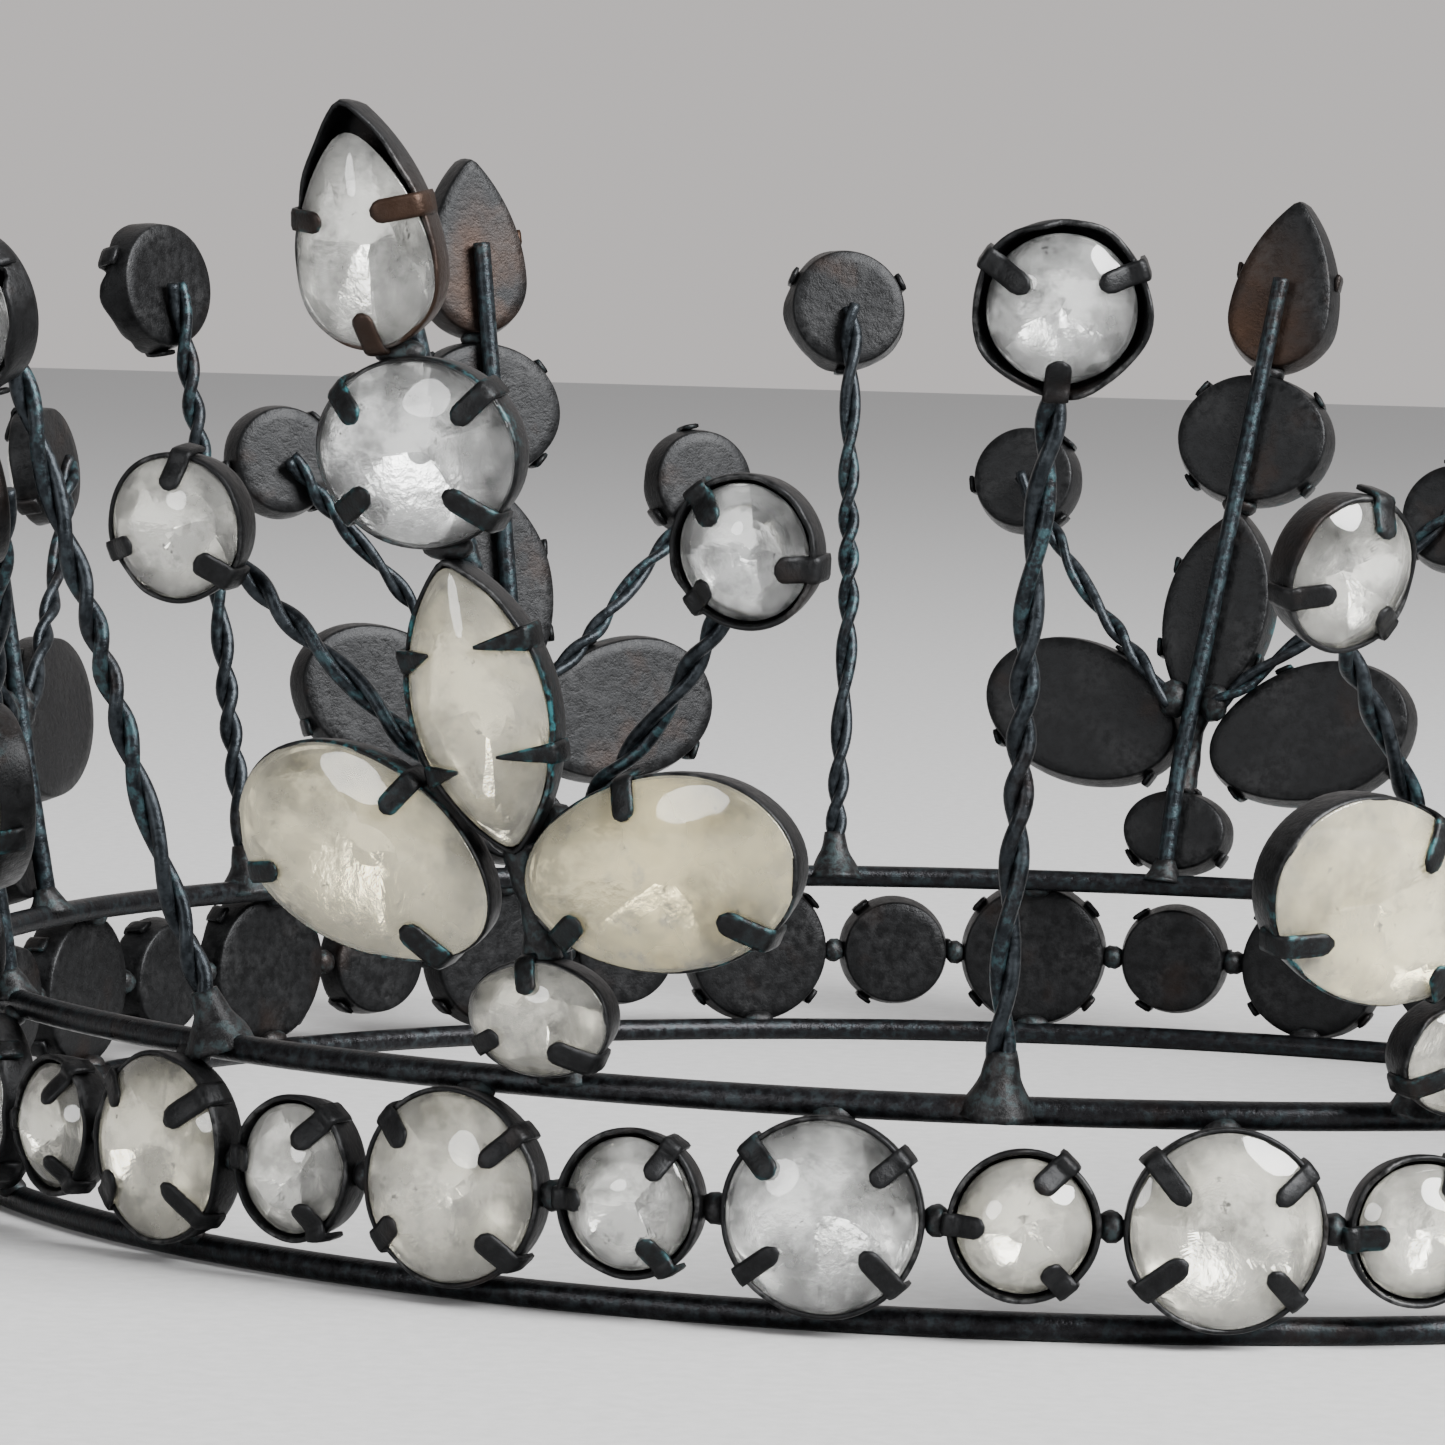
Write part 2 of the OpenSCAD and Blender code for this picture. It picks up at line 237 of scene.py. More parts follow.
class Setting:
    """One stone with its cup and claws: where it is, its outline, its claws and its own wear."""

    def __init__(
        self, place, kind, size, claws, seed, fit, egg=0.0, torn=0.0, green=0.0, cream=0.0, rust=0.0
    ):
        """fit is how far the stone's edge is inside the cup's outline and how high it stands."""
        self.place, self.kind, self.size, self.torn = place, kind, np.array(size, float), torn
        self.green, self.cream, self.egg, self.seed, self.rust = green, cream, egg, seed, rust
        self.gem_inset, self.girdle = fit
        self.chance = np.random.default_rng(seed)
        self.heart = np.array([0.0, -0.09 * size[1] if kind == "pear" else 0.0])
        a = 2 * math.pi * np.arange(EDGE_POINTS) / EDGE_POINTS
        waves = np.arange(2, 6)[:, None]
        height = self.chance.normal(0, 0.006, (4, 1)) / (waves / 2)
        phase = self.chance.uniform(0, 2 * math.pi, (4, 1))
        self.wave = (height * np.cos(waves * a + phase)).sum(axis=0)
        self.claws = [self.claw_root(c) for c in claws]

    def edge(self, inset):
        """The outline drawn in by inset, with the slow waves of a strip bent by hand. An egg
        is taller towards its outer end."""
        flat = outline(self.kind, self.size - 2 * inset)
        soft = 0.25 * (np.roll(flat, 1, axis=0) + 2 * flat + np.roll(flat, -1, axis=0))
        soft = soft * (1 + self.wave[:, None])
        soft[:, 1] *= 1 + self.egg * soft[:, 0] / self.size[0]
        return soft

    def gem_edge(self):
        """The stone's own outline. A pear's tip is blunter than its cup's, so its points are
        averaged with their neighbours a few times and stand lower."""
        flat = self.edge(self.gem_inset)
        if self.kind == "pear":
            flat = flat * (1, 1 - 1.3 / self.size[1]) - (0, 0.6)
        for _ in range({"pear": 6, "navette": 2}.get(self.kind, 0)):
            flat = 0.25 * (np.roll(flat, 1, axis=0) + 2 * flat + np.roll(flat, -1, axis=0))
        return flat

    def reach(self, points):
        """How far out points lie between the heart, 0, and the stone's edge, 1, measured along
        the line from the heart through each."""
        rim = self.gem_edge() - self.heart
        rim_a = np.unwrap(np.arctan2(rim[:, 1], rim[:, 0]))
        rim_r = np.hypot(rim[:, 0], rim[:, 1])
        off = points - self.heart
        a = np.arctan2(off[..., 1], off[..., 0])
        a = rim_a[0] + np.mod(a - rim_a[0], 2 * math.pi)
        ends_a, ends_r = np.append(rim_a, rim_a[0] + 2 * math.pi), np.append(rim_r, rim_r[0])
        return np.hypot(off[..., 0], off[..., 1]) / np.interp(a, ends_a, ends_r)

    def claw_root(self, claw):
        """A claw's foot on the outline and the direction in which it points. A number is a
        direction in which an oval's claw stands, and a pair is a height and a side."""
        w, h = self.size
        if isinstance(claw, tuple):
            y, side = claw
            rim = self.edge(0.0)
            ours = rim[rim[:, 0] * side > 0]
            x = ours[np.argmin(np.abs(ours[:, 1] - y)), 0]
            return (x, y), (180.0 if side > 0 else 0.0)
        a = math.radians(claw)
        r = w * h / 2 / math.hypot(h * math.cos(a), w * math.sin(a))
        if self.kind == "pear":
            return (0.0, -h / 2), 90.0
        spot = np.array([r * math.cos(a), r * math.sin(a)])
        spot[1] *= 1 + self.egg * spot[0] / w
        return tuple(spot), claw + 180.0

    def dome(self, points):
        """Height of the stone's crown at flat points: the top less the rise times a power of
        the reach, so that it is level in the middle and falls steeply at the edge."""
        s = np.clip(self.reach(points), 0, 1)
        return GEM_TOP - (GEM_TOP - self.girdle) * s**2.5


def all_band_settings(first, size, claws, seed, fit):
    """Every other setting on the band, each a little turned in its place."""
    made = []
    for i in range(BAND_PAIRS):
        chance = np.random.default_rng(seed + i)
        place = on_band(BAND_START + (2 * i + first) * BAND_STEP)
        place = place @ shifted(0, 0, CUP_BACK - 0.05) @ turned("z", chance.normal(0, 3))
        cream = chance.uniform(0, 0.45)
        made.append(Setting(place, "oval", size, claws, seed + i, fit, cream=cream))
    return made


def motif_all_settings(i):
    """The eight settings of motif i: base, right wing, left wing, navette, crest, pear, left
    spray and right spray."""
    whole, seed = on_motif(i), 1000 + 20 * i
    middle_lean, pear_lean, left_tilt, right_tilt = MOTIF_BENDS[i][4:]
    navette_claws = [(y, side) for y in (-3, 3) for side in (1, -1)]
    pear_claws = [(0.6, 1), (0.6, -1), 270]

    def at(x, y, turn=0.0):
        return whole @ shifted(x, y, CUP_BACK) @ turned("z", turn)

    def wing_at(side, tilt):
        out = (WING_GAP + WING_SIZE[0] * math.cos(math.radians(tilt))) / 2
        spot = shifted(side * out + sway(i, WING_SWAY_Y), WING_Y, CUP_BACK)
        return whole @ spot @ turned("z", side * tilt)

    def made(spot, kind, size, claws, number, fit, **looks):
        return Setting(spot, kind, size, claws, seed + number, fit, **looks)

    left_claws = [180 - a for a in WING_CLAWS]
    right_wing, left_wing = wing_at(1, right_tilt), wing_at(-1, left_tilt)
    navette_at = at(sway(i, NAVETTE_Y), NAVETTE_Y, middle_lean)
    crest_at = at(sway(i, CREST_Y), CREST_Y)
    pear_at = at(sway(i, PEAR_Y), PEAR_Y, pear_lean)
    left_at, right_at = (at(spray_head_x(i, side), SPRAY_Y) for side in (-1, 1))
    return [
        made(at(0, BASE_Y), "oval", BASE_SIZE, BASE_CLAWS, 0, PROUD, cream=0.3),
        made(right_wing, "oval", WING_SIZE, WING_CLAWS, 1, PROUD, egg=0.16, green=0.5, cream=1),
        made(left_wing, "oval", WING_SIZE, left_claws, 2, PROUD, egg=-0.2, green=0.8, cream=0.75),
        made(navette_at, "navette", NAVETTE_SIZE, navette_claws, 3, LEVEL, green=1, cream=0.6),
        made(crest_at, "oval", CREST_SIZE, CREST_CLAWS, 4, PROUD, egg=0.04, green=0.4),
        made(pear_at, "pear", PEAR_SIZE, pear_claws, 5, PROUD, cream=0.1, rust=0.7),
        made(left_at, "oval", SPRAY_SIZE, LEFT_SPRAY_CLAWS, 6, LEVEL, cream=0.15),
        made(right_at, "oval", SPRAY_SIZE, RIGHT_SPRAY_CLAWS, 7, LOOSE),
    ]


# ---- Meshes ----


class Pile:
    """Vertices, faces and vertex values gathered into one mesh."""

    def __init__(self):
        self.points, self.faces, self.paints, self.flats = [], [], [], []
        self.marks = {"wear": [], "verdigris": [], "rust": [], "tint": []}
        self.count = 0

    def add(self, points, faces, facets=(), wear=0.0, verdigris=0.0, rust=0.0, tint=0.0):
        """Adds points of shape (n, 3) and faces, each an array with one face per row. Facets
        are faces that stay flat and take the second material."""
        n = len(points)
        self.points.append(points)
        for blocks, flat in ((faces, False), (facets, True)):
            for block in blocks:
                self.faces.extend((block + self.count).tolist())
                self.paints.append(np.full(len(block), int(flat)))
                self.flats.append(np.full(len(block), flat))
        given = {"wear": wear, "verdigris": verdigris, "rust": rust, "tint": tint}
        for label, value in given.items():
            self.marks[label].append(np.broadcast_to(np.asarray(value, float), (n,)))
        self.count += n

    def tube(self, grid, ends=None, **values):
        """Adds a surface given as a grid (rows, around, 3) that closes on itself around. Each
        end is closed by a fan to the middle of its last row, or to the point given in ends."""
        rows, around = grid.shape[:2]
        first, last = ends if ends is not None else (grid[0].mean(axis=0), grid[-1].mean(axis=0))
        points = np.concatenate([grid.reshape(-1, 3), [first, last]])
        r, c = np.meshgrid(np.arange(rows - 1), np.arange(around), indexing="ij")
        here, right = r * around + c, r * around + (c + 1) % around
        quads = np.stack([here, right, right + around, here + around], axis=-1).reshape(-1, 4)
        c = np.arange(around)
        near = np.stack([(c + 1) % around, c, np.full(around, rows * around)], axis=1)
        base = (rows - 1) * around
        tail = np.full(around, rows * around + 1)
        far = np.stack([base + c, base + (c + 1) % around, tail], axis=1)
        spread = {}
        for name, value in values.items():
            if isinstance(value, np.ndarray):
                flat = value.reshape(-1)
                value = np.concatenate([flat, [flat[:around].mean(), flat[-around:].mean()]])
            spread[name] = value
        self.add(points, [quads, near, far], **spread)

    def ring(self, grid, **values):
        """Adds a grid (rows, around, 3) that closes on itself both ways, as a hoop does."""
        rows, around = grid.shape[:2]
        r, c = np.meshgrid(np.arange(rows), np.arange(around), indexing="ij")
        below, right = (r + 1) % rows, (c + 1) % around
        corners = [r * around + c, r * around + right, below * around + right, below * around + c]
        self.add(grid.reshape(-1, 3), [np.stack(corners, axis=-1).reshape(-1, 4)], **values)

    def piece(self, name, materials, stands_for, slot_name):
        """Makes the mesh object, with its faces outwards, and gives it to the frame."""
        mesh = bpy.data.meshes.new(name)
        mesh.from_pydata((np.concatenate(self.points) * MM).tolist(), [], self.faces)
        for label, store in self.marks.items():
            values = np.concatenate(store).astype(np.float32)
            mesh.attributes.new(label, "FLOAT", "POINT").data.foreach_set("value", values)
        mesh.polygons.foreach_set("use_smooth", ~np.concatenate(self.flats))
        mesh.polygons.foreach_set("material_index", np.concatenate(self.paints).astype(np.int32))
        tidy = bmesh.new()
        tidy.from_mesh(mesh)
        bmesh.ops.recalc_face_normals(tidy, faces=tidy.faces)
        tidy.to_mesh(mesh)
        tidy.free()
        for material in materials:
            mesh.materials.append(material)
        made = bpy.data.objects.new(name, mesh)
        bpy.context.scene.collection.objects.link(made)
        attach(made, "root")
        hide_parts(*stands_for)
        return made


def add_cup(pile, setting):
    """A cup of thin sheet: a profile of inset and height carried around the outline, from the
    back's middle, over the rim and down to the floor's middle. The rim's height goes up and
    down by a sum of waves, and a torn rim has notches where another wave is high."""
    profile = [
        (1.2, 0.0),
        (0.45, 0.0),
        (0.32, 0.1),
        (0.26, 0.35),
        (0.08, 1.2),
        (0.02, CUP_H - 0.4),
        (0.0, CUP_H - 0.12),
        (0.05, CUP_H + 0.02),
        (0.17, CUP_H + 0.06),
        (0.27, CUP_H),
        (CUP_WALL, CUP_H - 0.2),
        (CUP_WALL + 0.12, 1.2),
        (CUP_WALL + 0.3, 0.4),
        (1.2, 0.33),
    ]
    a = 2 * math.pi * np.arange(EDGE_POINTS) / EDGE_POINTS
    chance = setting.chance
    waves = np.arange(2, 14)[:, None]
    lift = chance.normal(0, 0.05, (12, 1)) / np.sqrt(waves / 2)
    rim_up = (lift * np.cos(waves * a + chance.uniform(0, 6.28, (12, 1)))).sum(axis=0)
    notch = np.clip(np.cos(7 * a + 1.0) * np.cos(3 * a + 2.0) - 0.25, 0, 1)
    rim_up = rim_up - setting.torn * notch
    bend = setting.torn * 0.35 * np.cos(5 * a + 0.5)
    rows, wear = [], []
    for inset, z in profile:
        near_rim = np.clip(z - CUP_H + 1, 0, 1) ** 2
        flat = setting.edge(inset)
        flat = flat * (1 + near_rim * bend[:, None] / setting.size.mean())
        rows.append(np.column_stack([flat, z + near_rim * rim_up]))
        rim_share = 0.6 if z > CUP_H - 0.05 else 0.1
        wear.append(rim_share * np.clip(np.cos(3 * a + setting.seed), 0, 1))
    grid = placed(setting.place, np.array(rows))
    middle = placed(setting.place, np.array([[*setting.heart, 0.0], [*setting.heart, 0.33]]))
    high = np.clip([z - CUP_H + 1 for _, z in profile], 0, 1)[:, None]
    green = setting.green * np.clip(np.cos(2 * a + setting.seed), 0, 1) * high
    rust = setting.rust * np.clip(0.4 + 0.6 * np.cos(a + setting.seed), 0, 1) * np.ones_like(high)
    pile.tube(grid, ends=middle, wear=np.array(wear), verdigris=green, rust=rust)


def add_claws(pile, setting):
    """Each claw is a rounded strip carried along a path: up the outside of the cup, over the
    rim and down onto the stone. Its width closes in a half round at the tip, or in a point on
    a navette."""
    steps, sides = 13, 8
    t = np.linspace(0, 1, steps)
    around = 2 * math.pi * (np.arange(sides) + 0.5) / sides
    shape_w = np.sign(np.cos(around)) * np.abs(np.cos(around)) ** 0.55
    shape_t = np.sign(np.sin(around)) * np.abs(np.sin(around)) ** 0.55
    pointed = setting.kind == "navette"
    for root, direction in setting.claws:
        chance = setting.chance
        swing = math.radians(direction + chance.normal(0, 5))
        inwards = np.array([math.cos(swing), math.sin(swing)])
        across = np.array([-inwards[1], inwards[0]])
        length = chance.uniform(1.9, 2.7) * (0.8 if min(setting.size) < 8 else 1.0)
        length = min(length, 0.36 * min(setting.size))
        d = np.interp(t, [0, 0.18, 0.3, 0.42, 0.52, 1], [-0.1, -0.1, -0.02, 0.3, 0.7, length])
        flat = np.array(root) + d[:, None] * inwards
        over = setting.dome(flat) + 0.2
        wall = np.interp(t, [0, 0.18, 0.3], [CUP_H - 1.3, CUP_H - 0.1, CUP_H + 0.3])
        clear_of_rim = np.interp(d, [0, 0.6], [CUP_H + 0.15, CUP_H - 0.4])
        z = np.where(t < 0.36, wall, np.maximum(over, clear_of_rim))
        path = np.column_stack([flat, z])
        path[1:-1] = 0.25 * (path[:-2] + 2 * path[1:-1] + path[2:])
        tangent = np.gradient(path, axis=0)
        tangent /= np.linalg.norm(tangent, axis=1, keepdims=True)
        side = np.array([*across, 0.0])
        normal = np.cross(tangent, side)
        w = CLAW_W * chance.uniform(0.85, 1.1)
        tip = np.clip((t - 0.82) / 0.18, 0, 1)
        width = w / 2 * np.maximum(np.sqrt(np.clip(1 - tip**2, 0, 1)), 0.3)
        if pointed:
            width = w / 2 * np.interp(t, [0, 0.35, 1], [1, 0.95, 0.14])
        skew = chance.normal(0, 0.12) * t
        thick = CLAW_T / 2 * np.interp(t, [0, 0.9, 1], [1.0, 0.95, 0.55])
        middle = path + (skew[:, None] * side)
        grid = middle[:, None] + width[:, None, None] * shape_w[:, None] * side
        grid = grid + thick[:, None, None] * shape_t[:, None] * normal[:, None]
        wear = np.interp(t, [0, 0.3, 0.45, 0.7, 1], [0.1, 0.7, 1.0, 0.55, 0.8])[:, None]
        wear = wear * np.clip(0.4 - np.sin(around), 0, 1) * chance.uniform(0.3, 1)
        rim_green = np.abs(np.cos(around)) ** 3 * np.interp(t, [0, 0.4, 1], [0.3, 1, 0.7])[:, None]
        green = rim_green * min(1.0, setting.green + chance.choice([0, 0.5], p=[0.75, 0.25]))
        rust = setting.rust * chance.uniform(0.2, 1)
        pile.tube(placed(setting.place, grid), wear=wear, verdigris=green, rust=rust)


def crown_planes(setting):
    """Slopes and offsets of planes that touch an oval dome at its middle and at two rounds of
    points, as the soft facets of a moulded stone do."""
    a, b = setting.size / 2 - setting.gem_inset
    rise = GEM_TOP - setting.girdle
    chance = setting.chance
    inner = 2 * math.pi * (np.arange(7) + chance.uniform(-0.15, 0.15, 7)) / 7
    outer = 2 * math.pi * (np.arange(12) + chance.uniform(-0.15, 0.15, 12)) / 12
    x = np.concatenate([[0], 0.55 * a * np.cos(inner), 0.88 * a * np.cos(outer)])
    y = np.concatenate([[0], 0.55 * b * np.sin(inner), 0.88 * b * np.sin(outer)])
    slope = -2 * rise * np.stack([x / a**2, y / b**2])
    top = GEM_TOP - rise * (x**2 / a**2 + y**2 / b**2)
    return slope, top - slope[0] * x - slope[1] * y


def add_gem(pile, setting):
    """A stone: a dome over a faceted back. The dome's height is its own power curve plus the
    gap between an oval dome and the soft minimum of the planes that touch it. The back is the
    greatest of two rounds of planes, one that slopes to the culet and a steeper one at the
    rim, and a narrow wall joins the two at the girdle."""
    a, b = setting.size / 2 - setting.gem_inset
    rise = GEM_TOP - setting.girdle
    s = np.sin(np.linspace(0, math.pi / 2, GEM_RINGS + 1))[1:]
    rim = setting.gem_edge() - setting.heart
    flat = setting.heart + s[:, None, None] * rim
    x, y = flat[..., 0], flat[..., 1]
    slope, offset = crown_planes(setting)
    heights = slope[0] * x[..., None] + slope[1] * y[..., None] + offset
    lowest = heights.min(axis=-1, keepdims=True)
    blend = np.exp(-FACET_SHARPNESS * (heights - lowest)).sum(axis=-1)
    soft = lowest[..., 0] - np.log(blend) / FACET_SHARPNESS
    ideal = GEM_TOP - rise * (x**2 / a**2 + y**2 / b**2)
    facet = (soft - ideal) * (1 - s[:, None] ** 6)
    z = GEM_TOP - rise * s[:, None] ** 2.5 + FACET_SHARE * facet
    front = np.stack([x, y, z], axis=-1)
    peak = np.array([*setting.heart, GEM_TOP + FACET_SHARE * (soft[0].mean() - ideal[0].mean())])
    chance = setting.chance
    off = flat - setting.heart
    shelf = min(setting.girdle, CUP_H - 0.25)
    rounds = []
    for count, steep, start in ((7, 1.0, 0.0), (13, 2.1, 0.5)):
        way = 2 * math.pi * (np.arange(count) + start + chance.uniform(-0.3, 0.3, count)) / count
        reach = a * b / np.hypot(b * np.cos(way), a * np.sin(way))
        tilt = steep * (shelf - CULET_Z) / reach * chance.uniform(0.75, 1.15, count)
        distance = off[..., :1] * np.cos(way) + off[..., 1:] * np.sin(way)
        rounds.append(shelf - 0.2 - tilt * (reach - distance))
    back_z = np.clip(np.concatenate(rounds, axis=-1).max(axis=-1), CULET_Z, shelf - 0.1)
    back = np.stack([x, y, back_z], axis=-1)[::-1]
    edge = front[-1:] - (0, 0, 0.06)
    under = np.column_stack([setting.heart + 0.97 * rim, np.full(len(rim), shelf - 0.08)])[None]
    back[..., :2] = setting.heart + 0.95 * (back[..., :2] - setting.heart)
    rows = np.concatenate([front, edge, under, back])
    count, around = rows.shape[:2]
    n = count * around
    low = np.array([*setting.heart, CULET_Z])
    points = placed(setting.place, np.concatenate([rows.reshape(-1, 3), [peak, low]]))
    r, c = np.meshgrid(np.arange(count - 1), np.arange(around), indexing="ij")
    here, right = r * around + c, r * around + (c + 1) % around
    quads = np.stack([here, right, right + around, here + around], axis=-1)
    c = np.arange(around)
    cap = np.stack([(c + 1) % around, c, np.full(around, n)], axis=1)
    base = n - around
    culet = np.stack([base + c, base + (c + 1) % around, np.full(around, n + 1)], axis=1)
    glass = quads[: len(front)].reshape(-1, 4)
    silvered = quads[len(front) :].reshape(-1, 4)
    # out runs from 0 in the middle to 1 at the girdle; the glass and the foil paint their shade
    # ring at the girdle from it, as painted shade
    out = np.concatenate([s, [1.0, 1.0], s[::-1]])
    wear = np.concatenate([np.repeat(out, around), [0.0, 0.0]])
    pile.add(points, [cap, glass], facets=[silvered, culet], wear=wear, tint=setting.cream)


def add_twist(pile, place, start, end, bow, seed, d=TWIST_D):
    """Two strands wound round one line. The line is a straight way with a slight arch, and
    each strand's middle goes round it at a steady pitch with a slow wander."""
    chance = np.random.default_rng(seed)
    way = np.array(end, float) - np.array(start, float)
    length = np.linalg.norm(way)
    steps = int(length / 0.34)
    t = np.linspace(0, 1, steps)
    along = way / length
    side = np.array([-along[1], along[0], 0.0])
    out = np.array([0.0, 0.0, 1.0])
    wander = 0.12 * np.sin(2 * math.pi * (t * 1.6 + chance.uniform(0, 1)))
    line = np.array(start, float) + t[:, None] * way
    line = line + (bow * 4 * t * (1 - t) + wander * t * (1 - t) * 4)[:, None] * side
    turns = 2 * math.pi * length / TWIST_PITCH
    phase = turns * (t + 0.03 * np.sin(2 * math.pi * (t * 2 + chance.uniform(0, 1))))
    around = 2 * math.pi * np.arange(10) / 10
    size = d / TWIST_D
    for strand in (0, math.pi):
        a = phase + strand + chance.uniform(0, 0.2)
        round_line = np.cos(a)[:, None] * side + np.sin(a)[:, None] * out
        middle = line + STRAND_OFFSET * size * round_line
        tangent = np.gradient(middle, axis=0)
        tangent /= np.linalg.norm(tangent, axis=1, keepdims=True)
        u = side - (tangent @ side)[:, None] * tangent
        u /= np.linalg.norm(u, axis=1, keepdims=True)
        v = np.cross(tangent, u)
        r = STRAND_R * size * (1 + 0.04 * np.sin(9 * t + strand))[:, None, None]
        hoop = np.cos(around)[:, None] * u[:, None] + np.sin(around)[:, None] * v[:, None]
        grid = middle[:, None] + r * hoop
        patch = np.clip(np.sin(5.0 * t + chance.uniform(0, 6)) - 0.2, 0, 1)[:, None] * np.ones(10)
        pile.tube(placed(place, grid), wear=0.3, verdigris=0.3 * patch)


def add_rod(pile, place, points, radii, seed, lumps=0.06):
    """A rod through points in an upright's plan, its radius going smoothly from one to the
    next, with the lumps of solder as a sum of waves along and around it."""
    chance = np.random.default_rng(seed)
    points, radii = np.array(points, float), np.array(radii, float)
    legs = np.linalg.norm(np.diff(points, axis=0), axis=1)
    stops = np.concatenate([[0], np.cumsum(legs)])
    steps = max(8, int(stops[-1] / 0.3))
    at = np.linspace(0, stops[-1], steps)
    line = np.stack([np.interp(at, stops, points[:, k]) for k in range(3)], axis=1)
    line[1:-1] = 0.25 * (line[:-2] + 2 * line[1:-1] + line[2:])
    r = np.interp(at, stops, radii)
    around = 2 * math.pi * np.arange(14) / 14
    tangent = np.gradient(line, axis=0)
    tangent /= np.linalg.norm(tangent, axis=1, keepdims=True)
    seen = np.array([0.0, 0.0, 1.0])
    if abs(tangent[0] @ seen) > 0.9:
        seen = np.array([1.0, 0.0, 0.0])
    u = np.cross(tangent, seen)
    u /= np.linalg.norm(u, axis=1, keepdims=True)
    v = np.cross(tangent, u)
    bump = np.zeros((steps, 14))
    for k in (1, 2, 3):
        phase = chance.uniform(0, 6.28, 2)
        bump += np.cos(k * around + phase[0]) * np.cos(1.3 * k * at[:, None] + phase[1]) / k
    r = r[:, None] * (1 + lumps * bump)
    grid = line[:, None] + r[..., None] * (
        np.cos(around)[:, None] * u[:, None] + np.sin(around)[:, None] * v[:, None]
    )
    pile.tube(placed(place, grid), wear=0.2, verdigris=0.1)


def add_bead(pile, place, middle, size, seed):
    """A bead of solder: a ball with each radius changed by a sum of slow waves."""
    chance = np.random.default_rng(seed)
    up = np.linspace(-math.pi / 2, math.pi / 2, 9)[1:-1, None]
    around = 2 * math.pi * np.arange(14) / 14
    r = 1 + 0.08 * np.cos(2 * around + chance.uniform(0, 6)) * np.cos(up) + 0.07 * np.sin(
        3 * around + 2 * up + chance.uniform(0, 6)
    ) * np.cos(up)
    flat = r * np.cos(up)
    height = r * np.sin(up) * np.ones(14)
    ball = np.stack([flat * np.cos(around), height, flat * np.sin(around)], axis=-1)
    pile.tube(placed(place, np.array(middle) + ball * np.array(size)), wear=0.2, verdigris=0.1)


def add_rail(pile, z, seed):
    """A hoop of round wire whose middle line rises and falls a little and whose underside, on
    the lower rail, is filed flat at height 0."""
    chance = np.random.default_rng(seed)
    a = 2 * math.pi * np.arange(480) / 480
    around = 2 * math.pi * np.arange(16) / 16
    dent = sum(0.02 * np.cos(k * a + chance.uniform(0, 6)) for k in (5, 9, 14))
    r = RING_R + dent[:, None] + RAIL_D / 2 * np.cos(around)
    height = np.maximum(z + RAIL_D / 2 * np.sin(around) * np.ones((480, 1)), 0.0)
    grid = np.stack([r * np.sin(a)[:, None], -r * np.cos(a)[:, None], height], axis=-1)
    worn = 0.3 * np.clip(np.cos(3 * a + 1)[:, None] * np.ones(16), 0, 1)
    pile.ring(grid, wear=worn.reshape(-1), verdigris=0.05)


# ---- Finishes ----


def new_material(name):
    material = bpy.data.materials.new(name)
    material.use_nodes = True
    return material, material.node_tree.nodes, material.node_tree.links


def noise(nodes, links, scale, detail=4.0, roughness=0.55):
    """A noise on the piece's own coordinates."""
    where = nodes.new("ShaderNodeTexCoord")
    made = nodes.new("ShaderNodeTexNoise")
    made.inputs["Scale"].default_value = scale
    made.inputs["Detail"].default_value = detail
    made.inputs["Roughness"].default_value = roughness
    links.new(where.outputs["Object"], made.inputs["Vector"])
    return made.outputs["Fac"]


def ramp(nodes, links, value, stops):
    """A colour ramp from value, with stops of place and colour."""
    made = nodes.new("ShaderNodeValToRGB")
    bar = made.color_ramp
    while len(bar.elements) < len(stops):
        bar.elements.new(0.5)
    for element, (place, colour) in zip(bar.elements, stops):
        element.position = place
        element.color = (*colour, 1.0)
    links.new(value, made.inputs["Fac"])
    return made.outputs["Color"]


def grey_ramp(nodes, links, value, low, high, dark=0.0, light=1.0):
    return ramp(nodes, links, value, [(low, (dark,) * 3), (high, (light,) * 3)])


def mixed(nodes, links, share, one, two, blend="MIX"):
    """Two colours mixed, or multiplied, by a share. Each may be a socket or a fixed colour."""
    made = nodes.new("ShaderNodeMix")
    made.data_type, made.blend_type = "RGBA", blend
    for socket, given in ((made.inputs[0], share), (made.inputs[6], one), (made.inputs[7], two)):
        if hasattr(given, "links"):
            links.new(given, socket)
        elif isinstance(given, tuple):
            socket.default_value = (*given, 1.0)
        else:
            socket.default_value = given
    return made.outputs[2]


def times(nodes, links, one, two):
    made = nodes.new("ShaderNodeMath")
    made.operation = "MULTIPLY"
    for socket, given in zip(made.inputs, (one, two)):
        if hasattr(given, "links"):
            links.new(given, socket)
        else:
            socket.default_value = given
    return made.outputs["Value"]


def attribute(nodes, name):
    made = nodes.new("ShaderNodeAttribute")
    made.attribute_name = name
    return made.outputs["Fac"]


def bumped(nodes, links, height, distance, strength, under=None):
    made = nodes.new("ShaderNodeBump")
    made.inputs["Strength"].default_value = strength
    made.inputs["Distance"].default_value = distance
    links.new(height, made.inputs["Height"])
    if under is not None:
        links.new(under, made.inputs["Normal"])
    return made.outputs["Normal"]


